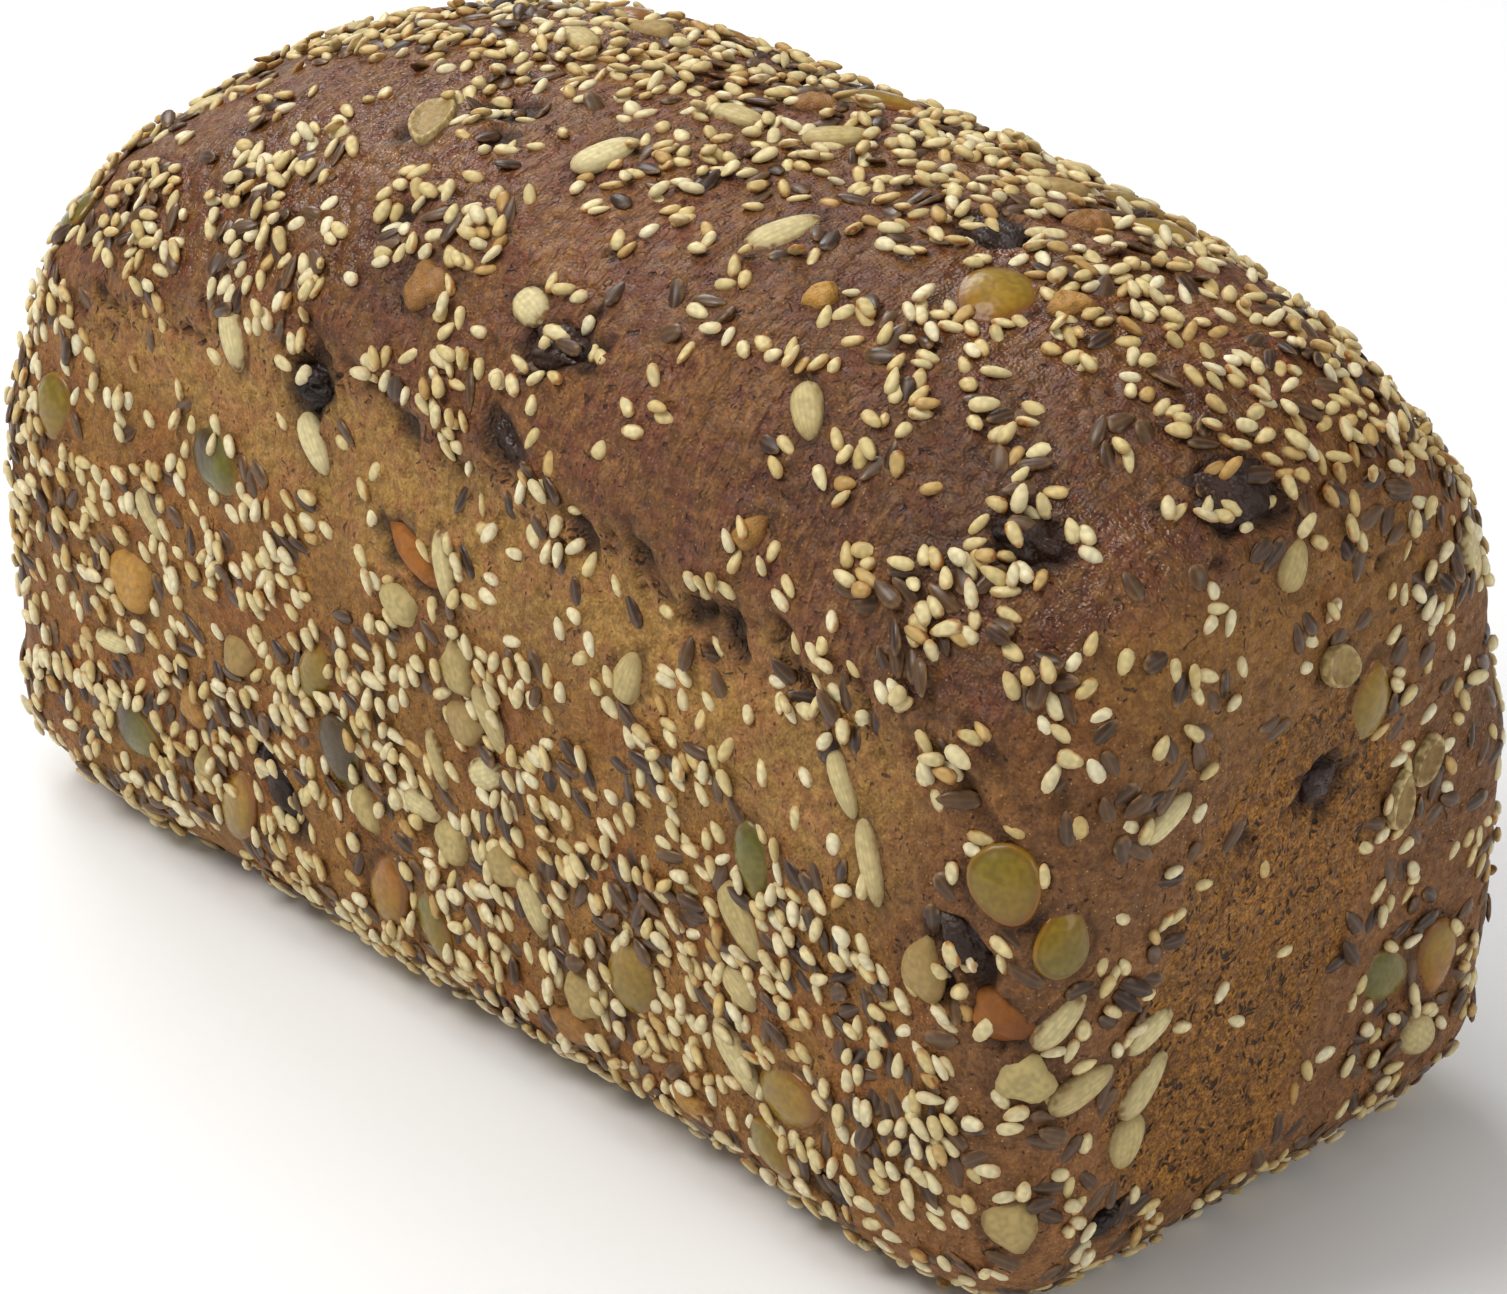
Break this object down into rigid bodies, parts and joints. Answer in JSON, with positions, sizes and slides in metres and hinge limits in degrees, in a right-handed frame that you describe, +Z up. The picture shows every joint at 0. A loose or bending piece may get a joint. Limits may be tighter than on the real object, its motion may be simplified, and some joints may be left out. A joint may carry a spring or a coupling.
{
  "type": "fruit bread",
  "caption": "Whole uncut dark tin loaf with a domed crust, pressed-in pumpkin, sunflower, linseed and sesame seeds, and dried fruit half sunk in its surface",
  "frame": {"origin": "on the table, under the middle of the loaf's bounding box", "axes": "+X along the loaf towards the end the picture shows, +Y across it away from the long side the picture shows, +Z up"},
  "size_m": [0.214, 0.1031, 0.1243],
  "materials": {
    "crust": "baked dark brown crust, matt low down and a little glossy on the dome, with fused seeds",
    "raisin": "wrinkled blue-black dried fruit, half glossy",
    "orange": "translucent orange dried fruit, half glossy"
  },
  "bodies": {
    "root": {"loaf": "crust", "raisin_01": "raisin", "raisin_02": "raisin", "raisin_03": "raisin", "raisin_04": "raisin", "raisin_05": "raisin", "raisin_06": "raisin", "raisin_07": "raisin", "raisin_08": "raisin", "raisin_09": "raisin", "raisin_10": "raisin", "raisin_11": "raisin", "raisin_12": "raisin", "raisin_13": "raisin", "raisin_14": "raisin", "raisin_15": "raisin", "raisin_16": "raisin", "raisin_17": "raisin", "raisin_18": "raisin", "raisin_19": "raisin", "orange_01": "orange", "orange_02": "orange", "orange_03": "orange", "orange_04": "orange"}
  },
  "joints": []
}
